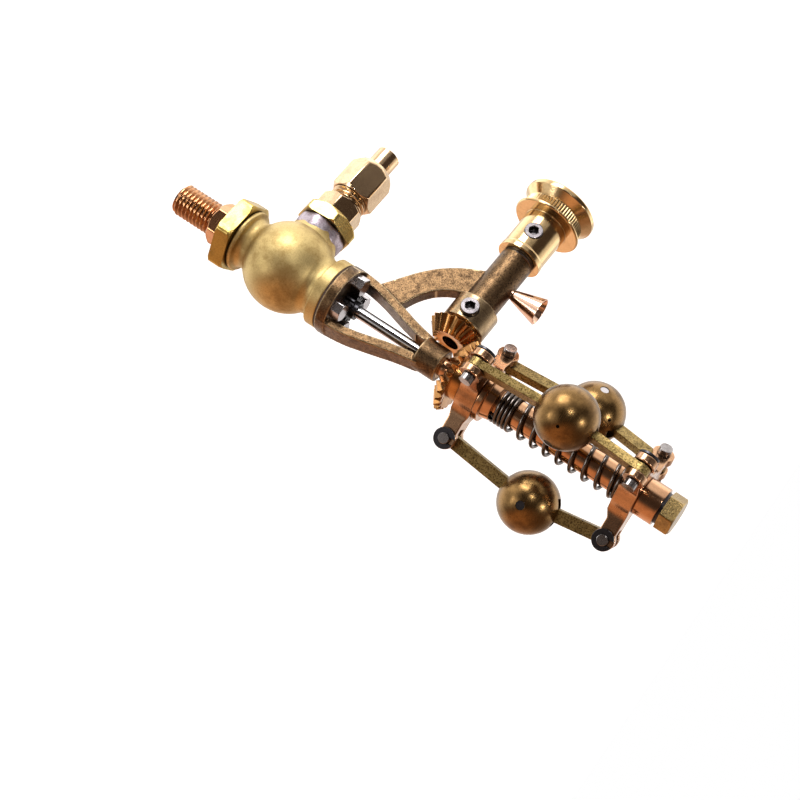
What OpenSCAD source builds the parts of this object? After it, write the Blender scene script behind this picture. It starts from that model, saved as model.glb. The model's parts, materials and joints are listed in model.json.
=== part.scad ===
// Flyball (centrifugal) governor with a ball-shaped steam valve, for a model steam engine.
// +Z runs up the governor spindle. The origin is the centre of the inlet stub's end face.
// The drive shaft, the steam outlet and the bearing arm all point towards -X.

/* [Valve] */
// Diameter of the ball-shaped valve body
valve_d = 15; // [14:0.1:16]
// Diameter of the chamber inside the valve body
chamber_d = 10.6; // [10:0.1:11.2]
// Outside diameter of the threaded inlet stub
inlet_d = 5.5; // [5:0.1:6]
// Length of the threaded inlet stub
inlet_len = 7.7; // [5:0.1:9]
// Pitch of the inlet thread
inlet_pitch = 0.75; // [0.5:0.05:1]
// Width across the flats of the small inlet hexagon
inlet_hex_af = 6.6; // [6.2:0.1:7]
// Width across the flats of the large inlet hexagon
union_hex_af = 11.5; // [10:0.1:12.5]
// Diameter of the valve flange
flange_d = 11.8; // [11.4:0.1:12.4]

/* [Outlet] */
// Width across the flats of the hexagon next to the valve body
outlet_hex_af = 9.2; // [8.8:0.1:9.6]
// Width across the flats of the outlet fitting
fitting_af = 6.9; // [6.7:0.1:7.2]
// Width across the flats of the union nut
union_nut_af = 7.1; // [6.9:0.1:7.4]
// Outside diameter of the outlet tube
outlet_tube_d = 4.2; // [4:0.1:4.3]

/* [Bracket] */
// Diameter of the bracket's lower flange
bracket_flange_d = 12.1; // [11.8:0.1:12.6]
// Width of the two legs halfway up
leg_w = 3.6; // [3:0.1:4.4]
// Diameter of the spindle boss
boss_d = 5.6; // [5.4:0.1:6]
// Diameter of the drive shaft's bearing tube
bearing_d = 5.8; // [5.4:0.1:6.2]
// Thickness of the curved bearing arm
arm_t = 2.4; // [1.8:0.1:3]

/* [Drive] */
// Height of the drive shaft above the centre of the valve
shaft_height = 28.9; // [28.7:0.05:29.1]
// Diameter of the drive shaft
shaft_d = 3; // [2.8:0.1:3]
// Diameter of the collar and of the pulley's hub
collar_d = 7.6; // [7:0.1:7.8]
// Diameter of the pulley's near flange
pulley_d = 12.1; // [11.5:0.1:12.6]
// Teeth on the bevel pinion
pinion_teeth = 18; // [18:1:18]
// Teeth on the bevel wheel
wheel_teeth = 24; // [24:1:24]
// Module of the bevel gears at their large end
gear_module = 0.46; // [0.45:0.005:0.465]

/* [Governor head] */
// Diameter of the three balls
ball_d = 10; // [9.4:0.1:10.2]
// Direction of the first arm about the spindle, in degrees
arm_angle = 34.7; // [0:0.1:119]
// Radius of the lower pivots
lower_pivot_r = 8.9; // [8.8:0.05:9.1]
// Height of the lower pivots above the centre of the valve
lower_pivot_h = 37; // [36.9:0.05:37.1]
// Radius of the balls' centres at rest
ball_r = 10.6; // [10.5:0.05:10.8]
// Height of the balls' centres above the centre of the valve
ball_h = 53.1; // [52.9:0.05:53.3]
// Radius of the upper pivots
upper_pivot_r = 8.6; // [8.5:0.05:8.7]
// Height of the upper pivots above the centre of the valve
upper_pivot_h = 66.1; // [66:0.05:66.2]
// Diameter of the pins at the clevises
clevis_pin_d = 1.8; // [1.6:0.05:1.9]
// Diameter of the pins through the balls
ball_pin_d = 1.5; // [1.3:0.05:1.6]
// Thickness of the two spiders
spider_t = 3.3; // [3:0.1:3.4]

/* [Spring and spindle] */
// Outside diameter of the spring
spring_d = 6.5; // [6.3:0.1:6.7]
// Diameter of the spring's wire
wire_d = 0.62; // [0.5:0.02:0.7]
// Outside diameter of the spindle sleeve
sleeve_d = 4.6; // [4.4:0.1:4.7]
// Diameter of the valve rod
rod_d = 2; // [1.9:0.05:2]

/* [Hidden] */
$fn = 64;
eps = 0.01;
running = 0.05;   // radial clearance of a part that turns or slides

brass = "#d9b45a";
satin_brass = "#c9a94e";
bronze = "#a8865a";
copper_bronze = "#b8703c";
dark_brass = "#6b542c";
steel = "#c8c8c8";
dark_steel = "#4a4a4e";

// Stations along the spindle
small_hex_t = 2.95;
union_hex_t = 2.7;
neck_len = 8.95;                       // from the large hexagon to the valve's centre
valve_z = inlet_len + small_hex_t + union_hex_t + neck_len;
flange_z = valve_z + 7.3;
gasket_z = valve_z + 9.3;
gasket_t = 0.3;
bracket_z = gasket_z + gasket_t;
bracket_t = 1.9;
bolt_z = bracket_z + bracket_t;
boss_z = valve_z + 26.2;
boss_top = valve_z + 30.4;
shaft_z = valve_z + shaft_height;
lower_z = valve_z + lower_pivot_h;
ball_z = valve_z + ball_h;
upper_z = valve_z + upper_pivot_h;
spider_z = lower_z - spider_t / 2;
wheel_back = spider_z - shaft_z;       // from the drive shaft's height to the back of the bevel wheel
seat_z = spider_z + spider_t + 0.05;
spring_z = valve_z + 41.2;
head_z = valve_z + 64.1;
hub_z = head_z + spider_t;
hub_len = 3.4;
nut_z = hub_z + hub_len + 0.5;
nut_len = 2.4;

// Valve details
seat_r = 2;
rod_r = rod_d / 2;
bore_r = 1.5;
bolt_pitch = 5.6;
web_h = 2;
spigot_r = 1.8;     // the outlet tube inside its fitting and nut
tube_reach = 3.8;   // the outlet tube beyond its nut

// Bevel gears: the pitch cones meet at the crossing of the spindle and the drive shaft
pinion_r = gear_module * pinion_teeth / 2;
wheel_r = gear_module * wheel_teeth / 2;
cone_len = norm([pinion_r, wheel_r]);
pinion_overhang = 0.9;   // the pinion's teeth run this much further out along the cone
face_w = 2;
addendum = 0.37;
dedendum = 0.5;
tooth_w = 0.56;
flank = 20;

// Linkage
arms = [arm_angle, arm_angle + 240, arm_angle + 120];
ear_gap = 1.7;
ear_t = 1.25;
ear_r = 1.8;
link_t = 1.4;
link_w = 2.2;
lower_tilt = atan2(ball_r - lower_pivot_r, ball_h - lower_pivot_h);
upper_tilt = atan2(ball_r - upper_pivot_r, upper_pivot_h - ball_h);
lower_len = norm([ball_r - lower_pivot_r, ball_h - lower_pivot_h]);
upper_len = norm([ball_r - upper_pivot_r, upper_pivot_h - ball_h]);
open_pivot = 0.2;   // clearance at the pivot that closes each loop
head_travel = 2;    // room above the spindle for the head to come down
pin_reach = ear_gap / 2 + ear_t + 0.75;
bush_r = 2.1;
journal_r = 1.6;    // radius of the spindle where it runs in its bush

// Bolts and set screws
bolt_r = 0.75;
bolt_hole_r = 0.78;
bolt_af = 2.6;
bolt_head = 1.5;
set_screw_r = 1.5;

// Spring
tight_turns = 4;
open_turns = 8;

module hex(af, h) {
  cylinder(d = af / cos(30), h = h, $fn = 6);
}

module ring(r_out, r_in, h) {
  difference() {
    cylinder(r = r_out, h = h);
    translate([0, 0, -1]) cylinder(r = r_in, h = h + 2);
  }
}

// Puts a part that is drawn along +Z onto the outlet's axis, at a distance from the spindle
module on_outlet(x) {
  translate([-x, 0, valve_z]) rotate([0, -90, 0]) children();
}

// Puts a part that is drawn along +Z onto the drive shaft's axis, at a distance from the spindle
module on_shaft(x) {
  translate([-x, 0, shaft_z]) rotate([0, -90, 0]) children();
}

// ---- Valve ----

module valve_body() {
  color(satin_brass) difference() {
    union() {
      translate([0, 0, valve_z]) sphere(d = valve_d, $fn = 96);
      translate([0, 0, valve_z - neck_len]) cylinder(r = 5.3, h = 0.9);
      translate([0, 0, valve_z - neck_len]) cylinder(r = 4.2, h = 4);
      translate([0, 0, valve_z + 4]) cylinder(r = 4.9, h = 4);
      translate([0, 0, flange_z]) cylinder(d = flange_d, h = gasket_z - flange_z);
      on_outlet(4) cylinder(r = 4.3, h = 4.1);
    }
    translate([0, 0, valve_z]) difference() {
      sphere(d = chamber_d);
      translate([0, 0, -web_h - 1]) cylinder(r = 8, h = web_h);
    }
    translate([0, 0, valve_z - neck_len - 1]) cylinder(r = bore_r, h = 8);
    translate([0, 0, valve_z - web_h - 2]) cylinder(r = seat_r + 1, h = web_h + 2);
    translate([0, 0, valve_z]) cylinder(r = rod_r + 0.5, h = 7);
    translate([0, 0, flange_z - 1.3]) cylinder(r = 2, h = 6);
    on_outlet(0) cylinder(r = bore_r, h = 12);
    bolt_places() translate([0, 0, flange_z - 1.2]) cylinder(r = bolt_hole_r, h = 6);
  }
}

module bolt_places() {
  for (x = [-1, 1], y = [-1, 1]) translate([x * bolt_pitch / 2, y * bolt_pitch / 2, 0]) children();
}

module valve_seat() {
  color(brass) translate([0, 0, valve_z - web_h - 1]) ring(seat_r + 1, seat_r, web_h);
}

module inlet_stub() {
  shoulder_z = inlet_len + small_hex_t;
  color(copper_bronze) difference() {
    union() {
      cylinder(d = inlet_d, h = inlet_len);
      translate([0, 0, inlet_len]) rotate(-36) hex(inlet_hex_af, small_hex_t);
      translate([0, 0, shoulder_z - eps]) cylinder(r = 2.6, h = union_hex_t + eps);
    }
    translate([0, 0, -1]) cylinder(r = bore_r, h = 20);
  }
}

module inlet_union_hex() {
  color(satin_brass) translate([0, 0, inlet_len + small_hex_t]) difference() {
    rotate(1) hex(union_hex_af, union_hex_t);
    translate([0, 0, -1]) cylinder(r = 2.6, h = union_hex_t + 2);
  }
}

// ---- Outlet ----

module outlet_hex() {
  color(satin_brass) on_outlet(8.9) difference() {
    intersection() {
      rotate(-5) hex(outlet_hex_af, 2.4);
      cylinder(r1 = 6.6, r2 = 4.7, h = 2.4);
    }
    translate([0, 0, -1]) cylinder(r = 2.4, h = 6);
  }
}

module outlet_solder_ring() {
  color(steel) on_outlet(8.1) ring(4.5, 2.4, 0.8);
}

module outlet_fitting() {
  color(brass) difference() {
    union() {
      on_outlet(8.1) cylinder(r = 2.4, h = 3.3);
      on_outlet(11.3) rotate(30.7) hex(fitting_af, 3.3);
      on_outlet(14) cylinder(r = 3.25, h = 4.8);
    }
    on_outlet(7) cylinder(r = bore_r, h = 12.5);
    on_outlet(17) cylinder(r = spigot_r, h = 3);
  }
}

module outlet_union_nut() {
  color(brass) on_outlet(16.4) difference() {
    intersection() {
      rotate(24) hex(union_nut_af, 6.9);
      union() {
        cylinder(r1 = 3.5, r2 = 4.2, h = 0.6);
        translate([0, 0, 0.6]) cylinder(r = 4.2, h = 5);
        translate([0, 0, 5.6]) cylinder(r1 = 4.2, r2 = 3.1, h = 1.3);
      }
    }
    translate([0, 0, -1]) cylinder(r = 3.25, h = 4.6);
    translate([0, 0, 3]) cylinder(r = spigot_r, h = 6);
  }
}

module outlet_ferrule() {
  color(brass) on_outlet(18.9) ring(3.2, spigot_r, 1.05);
}

module outlet_tube() {
  color(brass) difference() {
    union() {
      on_outlet(17) cylinder(r = spigot_r, h = 6.4);
      on_outlet(23.3) cylinder(d = outlet_tube_d, h = tube_reach);
    }
    on_outlet(16) cylinder(r = 1.4, h = 20);
  }
}

// ---- Bracket ----

module flange_gasket() {
  color("#5a5048") translate([0, 0, gasket_z]) difference() {
    cylinder(d = flange_d - 0.2, h = gasket_t);
    translate([0, 0, -1]) cylinder(r = 2, h = 3);
    bolt_places() translate([0, 0, -1]) cylinder(r = bolt_hole_r, h = 3);
  }
}

module flange_bolts() {
  color(steel) bolt_places() {
    translate([0, 0, bolt_z]) rotate(16) hex(bolt_af, bolt_head);
    translate([0, 0, flange_z - 1]) cylinder(r = bolt_r, h = bolt_z - flange_z + 1 + eps);
  }
}

module gland_packing() {
  color("#8a8478") translate([0, 0, flange_z - 1.3]) ring(2, rod_r + running, 2);
}

module gland_nut() {
  color(dark_steel) difference() {
    union() {
      translate([0, 0, flange_z + 0.7]) cylinder(r = 2, h = bolt_z - flange_z - 0.7 + eps);
      translate([0, 0, bolt_z]) rotate(10) hex(4, 1.6);
      translate([0, 0, bolt_z]) cylinder(r = 1.5, h = 2.4);
    }
    translate([0, 0, flange_z]) cylinder(r = rod_r + running, h = 20);
  }
}

function bezier(p, t) =
  pow(1 - t, 3) * p[0] + 3 * t * pow(1 - t, 2) * p[1] + 3 * t * t * (1 - t) * p[2] + pow(t, 3) * p[3];
function curve(p, n = 14) = [for (i = [0 : n]) bezier(p, i / n)];
function reversed(p) = [for (i = [len(p) - 1 : -1 : 0]) p[i]];

// Side view of one leg, measured from the valve's centre
module leg_outline() {
  outside = [[5.8, 10], [6, 16.6], [3.5, 20.6], [2.65, 27.2]];
  inside = [[4.4, 10], [4.7, 15.8], [2.3, 19.2], [1.25, 26.2]];
  polygon(concat(curve(outside), reversed(curve(inside))));
}

// View of a leg from the side it is broad on: wide at the flange, narrow at the boss
module leg_width() {
  half = leg_w / 2;
  side = curve([[half + 0.3, 9.8], [half, 12], [half, 21], [half - 0.3, 28]]);
  polygon(concat(side, [for (p = reversed(side)) [-p[0], p[1]]]));
}

module legs() {
  translate([0, 0, valve_z]) intersection() {
    rotate([90, 0, 0]) linear_extrude(height = 12, center = true) union() {
      leg_outline();
      mirror([1, 0]) leg_outline();
    }
    rotate([90, 0, 90]) linear_extrude(height = 20, center = true) leg_width();
  }
}

// Side view of the curved arm that carries the bearing tube
module bearing_arm() {
  top = curve([[-4.4, 13], [-9, 16.9], [-14.8, 18], [-18.4, 27.8]]);
  under = curve([[-3.9, 18.8], [-8, 20], [-11.4, 21.6], [-12.9, 27.6]]);
  translate([0, 0, valve_z]) rotate([90, 0, 0]) linear_extrude(height = arm_t, center = true)
    polygon(concat(top, reversed(under)));
}

module bracket() {
  color(bronze) difference() {
    union() {
      translate([0, 0, bracket_z]) cylinder(d = bracket_flange_d, h = bracket_t);
      legs();
      bearing_arm();
      translate([0, 0, boss_z]) cylinder(d = boss_d, h = boss_top - boss_z);
      on_shaft(12.1) cylinder(d = bearing_d, h = 10.7);
    }
    translate([0, 0, boss_z - 2.2]) cylinder(r = bush_r, h = 20);
    on_shaft(10) cylinder(d = shaft_d + 2 * running, h = 20);
    translate([0, 0, bracket_z - 1]) cylinder(r = 2, h = 6);
    bolt_places() translate([0, 0, bracket_z - 1]) cylinder(r = bolt_hole_r, h = 6);
    translate([-17.2, 0, shaft_z + 1]) cylinder(r = 0.8, h = 4);
  }
}

module spindle_bush() {
  bush_z = boss_z + 0.9;
  color(bronze) translate([0, 0, bush_z]) ring(bush_r, journal_r + running, boss_top - bush_z);
}

module oil_cup() {
  cup_h = 5.4;
  color(copper_bronze) translate([-17.2, 0, shaft_z]) difference() {
    union() {
      translate([0, 0, 1.9]) cylinder(r = 0.8, h = 1.2);
      translate([0, 0, bearing_d / 2]) cylinder(r1 = 0.95, r2 = 2.4, h = cup_h);
    }
    translate([0, 0, 1]) cylinder(r = 0.45, h = 5);
    translate([0, 0, bearing_d / 2 + 1]) cylinder(r1 = 0.5, r2 = 2.15, h = cup_h - 1 + eps);
  }
}

// ---- Drive shaft ----

// One tooth's corners at a distance from the point of the pitch cone, as [radius, half width, height]
function tooth_corners(root, tip, cone, along) =
  let (k = along / cone_len,
    at = function (angle) along / cos(angle - cone) * [sin(angle), cos(angle)],
    foot = [at(root)[0], k * (tooth_w / 2 + dedendum * tan(flank)), at(root)[1]],
    crest = [at(tip)[0], k * (tooth_w / 2 - addendum * tan(flank)), at(tip)[1]])
    [[foot[0], -foot[1], foot[2]], [crest[0], -crest[1], crest[2]], crest, foot];
function toothed_ring(teeth, corners) =
  [for (i = [0 : teeth - 1], c = corners)
    let (a = i * 360 / teeth + atan2(c[1], c[0])) [c[0] * cos(a), c[0] * sin(a), c[2]]];
// A round ring just inside the teeth, with one point for each corner
function inner_ring(points, r, z) =
  [for (p = points) let (a = atan2(p[1], p[0])) [r * cos(a), r * sin(a), z]];

// A bevel gear on +Z whose pitch cone has its point at the origin. The teeth end at outer, along the cone
module bevel_gear(teeth, pitch_r, outer, hub_r, back, bore) {
  cone = asin(pitch_r / cone_len);
  tip = cone + atan(addendum / cone_len);
  root = cone - atan(dedendum / cone_len);
  far_corners = tooth_corners(root, tip, cone, outer);
  near_corners = tooth_corners(root, tip, cone, cone_len - face_w);
  far = toothed_ring(teeth, far_corners);
  near = toothed_ring(teeth, near_corners);
  far_foot = far_corners[0];
  near_foot = near_corners[0];
  n = len(far);
  inset = 0.93;   // share of the root's radius
  points = concat(far, near, inner_ring(far, inset * far_foot[0], far_foot[2]),
    inner_ring(near, inset * near_foot[0], near_foot[2]));
  flanks = [for (i = [0 : n - 1]) let (j = (i + 1) % n) [i, j, n + j, n + i]];
  caps = [for (i = [0 : n - 1]) let (j = (i + 1) % n) each [
    [j, i, 2 * n + i], [j, 2 * n + i, 2 * n + j],
    [n + i, n + j, 3 * n + j], [n + i, 3 * n + j, 3 * n + i]]];
  discs = [[for (i = [n - 1 : -1 : 0]) 2 * n + i], [for (i = [0 : n - 1]) 3 * n + i]];
  difference() {
    union() {
      polyhedron(points, concat(flanks, caps, discs));
      translate([0, 0, near_foot[2] + 0.4]) cylinder(r = hub_r, h = back - near_foot[2] - 0.4);
    }
    cylinder(r = bore, h = 20);
  }
}

module drive_shaft() {
  color(steel) on_shaft(5.8) cylinder(d = shaft_d, h = 29.2);
}

module pinion_gear() {
  color(copper_bronze) on_shaft(0) rotate(180 / pinion_teeth)
    bevel_gear(pinion_teeth, pinion_r, cone_len + pinion_overhang, 3, 7.3, shaft_d / 2);
}

module shaft_collar() {
  color(bronze) on_shaft(7.3) difference() {
    cylinder(d = collar_d, h = 4.6);
    translate([0, 0, -1]) cylinder(d = shaft_d, h = 8);
    translate([0, 0, 2]) rotate([90, 0, 0]) cylinder(r = set_screw_r, h = 6);
  }
}

module set_screw(length) {
  difference() {
    cylinder(r = set_screw_r, h = length);
    translate([0, 0, length - 1.1]) cylinder(d = 1.75, h = 2, $fn = 6);
  }
}

module collar_set_screw() {
  color(dark_steel) on_shaft(9.3) rotate([90, 0, 0]) translate([0, 0, shaft_d / 2]) set_screw(3.1);
}

module thrust_washer() {
  color(steel) on_shaft(22.85) ring(2.6, shaft_d / 2, 0.3);
}

module pulley() {
  groove_r = 5.1;
  near_r = pulley_d / 2;
  far_r = near_r + 0.4;
  color(brass) on_shaft(23.2) difference() {
    rotate_extrude() polygon([[0, 0], [3.9, 0], [3.9, 0.9], [collar_d / 2, 1.1], [collar_d / 2, 8],
      [near_r - 0.3, 8], [near_r, 8.2], [near_r, 8.5], [groove_r, 8.7], [groove_r, 10.5],
      [far_r, 11.8], [far_r, 12.5], [far_r - 0.2, 12.7], [0, 12.7]]);
    translate([0, 0, -1]) cylinder(d = shaft_d, h = 20);
    translate([0, 0, 4]) rotate([90, 0, 0]) cylinder(r = set_screw_r, h = 6);
  }
}

module pulley_set_screw() {
  color(dark_steel) on_shaft(27.2) rotate([90, 0, 0]) translate([0, 0, shaft_d / 2]) set_screw(2.4);
}

// ---- Spindle and lower spider ----

module wheel_gear() {
  color(copper_bronze) translate([0, 0, shaft_z])
    bevel_gear(wheel_teeth, wheel_r, cone_len, 3.6, wheel_back, journal_r);
}

module spindle() {
  color(copper_bronze) difference() {
    union() {
      translate([0, 0, boss_z + 0.1]) cylinder(r = journal_r, h = spider_z - boss_z);
      translate([0, 0, spider_z]) cylinder(d = sleeve_d, h = hub_z - head_travel - spider_z);
    }
    translate([0, 0, boss_z - 4]) cylinder(r = rod_r + running, h = 60);
  }
}

module spindle_clip() {
  color(dark_steel) translate([0, 0, boss_z + 0.25]) ring(1.95, journal_r, 0.5);
}

function turned(p, a) = [p[0] * cos(a) - p[1] * sin(a), p[0] * sin(a) + p[1] * cos(a)];

// Outline of a spider from above: a round hub, with three straight arms that leave it in round fillets
module spider_outline(hub_r, reach) {
  half = ear_gap / 2 + ear_t;
  fillet = 2.6;
  blend = asin((half + fillet) / (hub_r + fillet));
  centre = [(hub_r + fillet) * cos(blend), half + fillet];
  side = [for (i = [0 : 6]) let (a = 180 + blend + i * (90 - blend) / 6)
    centre + fillet * [cos(a), sin(a)]];
  rim = [for (a = [52, 60, 68]) hub_r * [cos(a), sin(a)]];
  arm = concat([for (p = side) [p[0], -p[1]]], [[reach, -half], [reach, half]], reversed(side), rim);
  polygon([for (a = [0, 120, 240], p = arm) turned(p, a)]);
}

// One spider: a hub ring with three arms, each ending in a two-eared clevis with round ends
module spider(hub_r, bore, pivot_r, z, arm_z) {
  top = z + spider_t;
  waist = ear_r - 0.5;
  below = [[hub_r + 1.3, arm_z - waist], [pivot_r - 1.2, arm_z - waist], [pivot_r, arm_z - ear_r]];
  above = [[pivot_r, arm_z + ear_r], [pivot_r - 1.2, arm_z + waist], [hub_r + 1.3, arm_z + waist]];
  arm = concat([[bore, z], [hub_r, z]], below, above, [[hub_r, top], [bore, top]]);
  difference() {
    intersection() {
      translate([0, 0, z - 3]) rotate(arms[0]) linear_extrude(height = spider_t + 6)
        spider_outline(hub_r, pivot_r + 3);
      union() {
        translate([0, 0, z]) cylinder(r = hub_r + 0.3, h = spider_t);
        for (a = arms) rotate(a) rotate([90, 0, 0]) linear_extrude(height = 12, center = true) polygon(arm);
        at_pivots(pivot_r, arm_z) rotate([90, 0, 0]) cylinder(r = ear_r, h = 12, center = true);
      }
    }
    translate([0, 0, z - 5]) cylinder(r = bore, h = 20);
    at_pivots(pivot_r - 2.1, arm_z) translate([0, -ear_gap / 2, -4]) cube([8, ear_gap, 8]);
    at_pivots(pivot_r, arm_z) rotate([90, 0, 0]) cylinder(d = clevis_pin_d, h = 12, center = true);
  }
}

module lower_spider() {
  color(copper_bronze) spider(4.2, sleeve_d / 2, lower_pivot_r, spider_z, lower_z);
}

module spring_seat() {
  color(copper_bronze) difference() {
    union() {
      translate([0, 0, seat_z]) cylinder(r = 4.3, h = 1);
      translate([0, 0, seat_z]) cylinder(r1 = 3.8, r2 = 3.2, h = spring_z - seat_z);
    }
    translate([0, 0, seat_z - 1]) cylinder(d = sleeve_d, h = 8);
  }
}

// A cross pin with a head, drawn along +Y, and the spring clip on its other end
module cross_pin(r, reach, head) {
  ear_face = ear_gap / 2 + ear_t + 0.05;
  rotate([-90, 0, 0]) translate([0, 0, -reach]) cylinder(r = r, h = reach + ear_face + 0.5);
  translate([0, ear_face, 0]) rotate([-90, 0, 0]) cylinder(r = head, h = 1.2);
}

module at_pivots(r, z) {
  for (a = arms) rotate(a) translate([r, 0, z]) children();
}

module lower_pins() {
  color(steel) at_pivots(lower_pivot_r, lower_z) cross_pin(clevis_pin_d / 2, pin_reach, 1.05);
}

module clip() {
  translate([0, -ear_gap / 2 - ear_t - 0.1, 0]) rotate([90, 0, 0]) difference() {
    cylinder(r = 1.75, h = 0.4);
    translate([0, 0, -1]) cylinder(d = clevis_pin_d, h = 3);
    translate([-0.55, 0.3, -1]) cube([1.1, 3, 3]);
  }
}

module lower_clips() {
  color(dark_steel) at_pivots(lower_pivot_r, lower_z) clip();
}

// ---- Spring ----

// Height of the wire's centre after so many turns
function spring_height(turn) =
  let (tight = wire_d * 1.12,
    free = head_z - spring_z - tight * (tight_turns + 1) - wire_d,
    opened = turn - tight_turns)
    opened < 0 ? tight * turn
      : opened < open_turns ? tight * tight_turns + free * opened / open_turns
      : tight * tight_turns + free + tight * (opened - open_turns);

module spring() {
  turns = tight_turns + open_turns + 1;
  steps = 14;
  coil_r = (spring_d - wire_d) / 2;
  sides = 6;
  n = turns * steps;
  points = [for (i = [0 : n])
    let (turn = i / steps, a = 360 * turn, h = spring_z + wire_d / 2 + spring_height(turn))
    for (k = [0 : sides - 1])
      let (b = 360 * k / sides, r = coil_r + wire_d / 2 * cos(b))
        [r * cos(a), r * sin(a), h + wire_d / 2 * sin(b)]];
  walls = [for (i = [0 : n - 1], k = [0 : sides - 1])
    let (a = i * sides + k, b = i * sides + (k + 1) % sides) [a, a + sides, b + sides, b]];
  ends = [[for (k = [0 : sides - 1]) k], [for (k = [sides - 1 : -1 : 0]) n * sides + k]];
  color(steel) polyhedron(points, concat(walls, ends));
}

// ---- Head ----

module upper_spider() {
  color(copper_bronze) spider(4.1, sleeve_d / 2 + running, upper_pivot_r, head_z, upper_z);
}

module head_hub() {
  color(copper_bronze) translate([0, 0, hub_z]) ring(3.15, 1.9, hub_len);
}

module lock_washer() {
  color(dark_steel) translate([0, 0, hub_z + hub_len]) ring(2.6, 1.9, 0.5);
}

module top_nut() {
  color(dark_brass) translate([0, 0, nut_z]) difference() {
    rotate(14) hex(5.6, nut_len);
    translate([0, 0, -1]) cylinder(r = 1.9, h = 2.6);
  }
}

module upper_pins() {
  color(steel) at_pivots(upper_pivot_r, upper_z) cross_pin(clevis_pin_d / 2, pin_reach, 1.05);
}

module upper_clips() {
  color(dark_steel) at_pivots(upper_pivot_r, upper_z) clip();
}

// ---- Valve rod ----

module valve_rod() {
  color(steel) translate([0, 0, valve_z + 0.4]) cylinder(d = rod_d, h = nut_z + 0.2 - valve_z);
}

module valve_plug() {
  color(brass) translate([0, 0, valve_z - 0.2]) difference() {
    union() {
      cylinder(r1 = seat_r - 0.4, r2 = seat_r - 0.1, h = 0.9);
      translate([0, 0, 0.9]) cylinder(r = seat_r + 0.6, h = 1.2);
    }
    translate([0, 0, 0.6]) cylinder(d = rod_d, h = 5);
  }
}

module rod_collar() {
  color(steel) translate([0, 0, hub_z + 1.2]) ring(1.85, rod_d / 2, 1.4);
}

// ---- Links and balls ----

// A flat strap on +Z. Its far eye is half as thick, so that two links lap on one ball pin.
module link(length, far_hole, side) {
  lap_t = link_t / 2 - 0.05;
  lap_len = 1.9;
  rotate([90, 0, 0]) difference() {
    union() {
      cylinder(d = link_w + 0.6, h = link_t, center = true);
      translate([-link_w / 2, 0, -link_t / 2]) cube([link_w, length - lap_len, link_t]);
      translate([0, 0, side * link_t / 4 + side * 0.025]) {
        translate([-link_w / 2, length - lap_len - eps, -lap_t / 2]) cube([link_w, lap_len + eps, lap_t]);
        translate([0, length, 0]) cylinder(d = link_w + 0.3, h = lap_t, center = true);
      }
    }
    cylinder(r = clevis_pin_d / 2 + running, h = 5, center = true);
    translate([0, length, 0]) cylinder(r = far_hole, h = 5, center = true);
  }
}

module lower_link(i) {
  color(brass) rotate(arms[i]) translate([lower_pivot_r, 0, lower_z]) rotate([0, lower_tilt, 0])
    link(lower_len, ball_pin_d / 2 + running, 1);
}

module upper_link(i) {
  color(brass) rotate(arms[i]) translate([upper_pivot_r, 0, upper_z]) rotate([0, 180 - upper_tilt, 0])
    link(upper_len, ball_pin_d / 2 + open_pivot, -1);
}

module flyball(i) {
  slot_w = link_t + 0.24;
  color(dark_brass) rotate(arms[i]) translate([ball_r, 0, ball_z]) difference() {
    sphere(d = ball_d, $fn = 96);
    rotate([90, 0, 0]) cylinder(d = ball_pin_d, h = 12, center = true);
    rotate([90, 0, 0]) linear_extrude(height = slot_w, center = true) slot_outline();
  }
}

// Clears both links over the whole swing of the arm
module slot_outline() {
  circle(r = link_w / 2 + 0.6);
  half = link_w / 2 + 0.15;
  polygon([[-half, 0], [half, 0], [half, 7], [-4.7, 7]]);
  polygon([[-half, 0], [half, 0], [half, -7], [-3.7, -7]]);
}

module ball_pin(i) {
  color(steel) rotate(arms[i]) translate([ball_r, 0, ball_z]) rotate([90, 0, 0])
    cylinder(d = ball_pin_d, h = ball_d - 0.3, center = true);
}

valve_body();
valve_seat();
inlet_stub();
inlet_union_hex();
outlet_hex();
outlet_solder_ring();
outlet_fitting();
outlet_union_nut();
outlet_ferrule();
outlet_tube();
flange_gasket();
flange_bolts();
gland_packing();
gland_nut();
bracket();
spindle_bush();
oil_cup();
drive_shaft();
pinion_gear();
shaft_collar();
collar_set_screw();
thrust_washer();
pulley();
pulley_set_screw();
wheel_gear();
spindle();
spindle_clip();
lower_spider();
spring_seat();
lower_pins();
lower_clips();
spring();
upper_spider();
head_hub();
lock_washer();
top_nut();
upper_pins();
upper_clips();
valve_rod();
valve_plug();
rod_collar();
lower_link(0);  // lower_link_1
lower_link(1);  // lower_link_2
lower_link(2);  // lower_link_3
flyball(0);  // flyball_1
flyball(1);  // flyball_2
flyball(2);  // flyball_3
ball_pin(0);  // ball_pin_1
ball_pin(1);  // ball_pin_2
ball_pin(2);  // ball_pin_3
upper_link(0);  // upper_link_1
upper_link(1);  // upper_link_2
upper_link(2);  // upper_link_3
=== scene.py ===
"""Looks of the flyball governor with its ball-shaped steam valve.

Lengths are in millimetres unless a name or a comment says otherwise.
"""
import json
import math
import bmesh
import bpy
import numpy as np
from mathutils import Matrix, Vector

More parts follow.
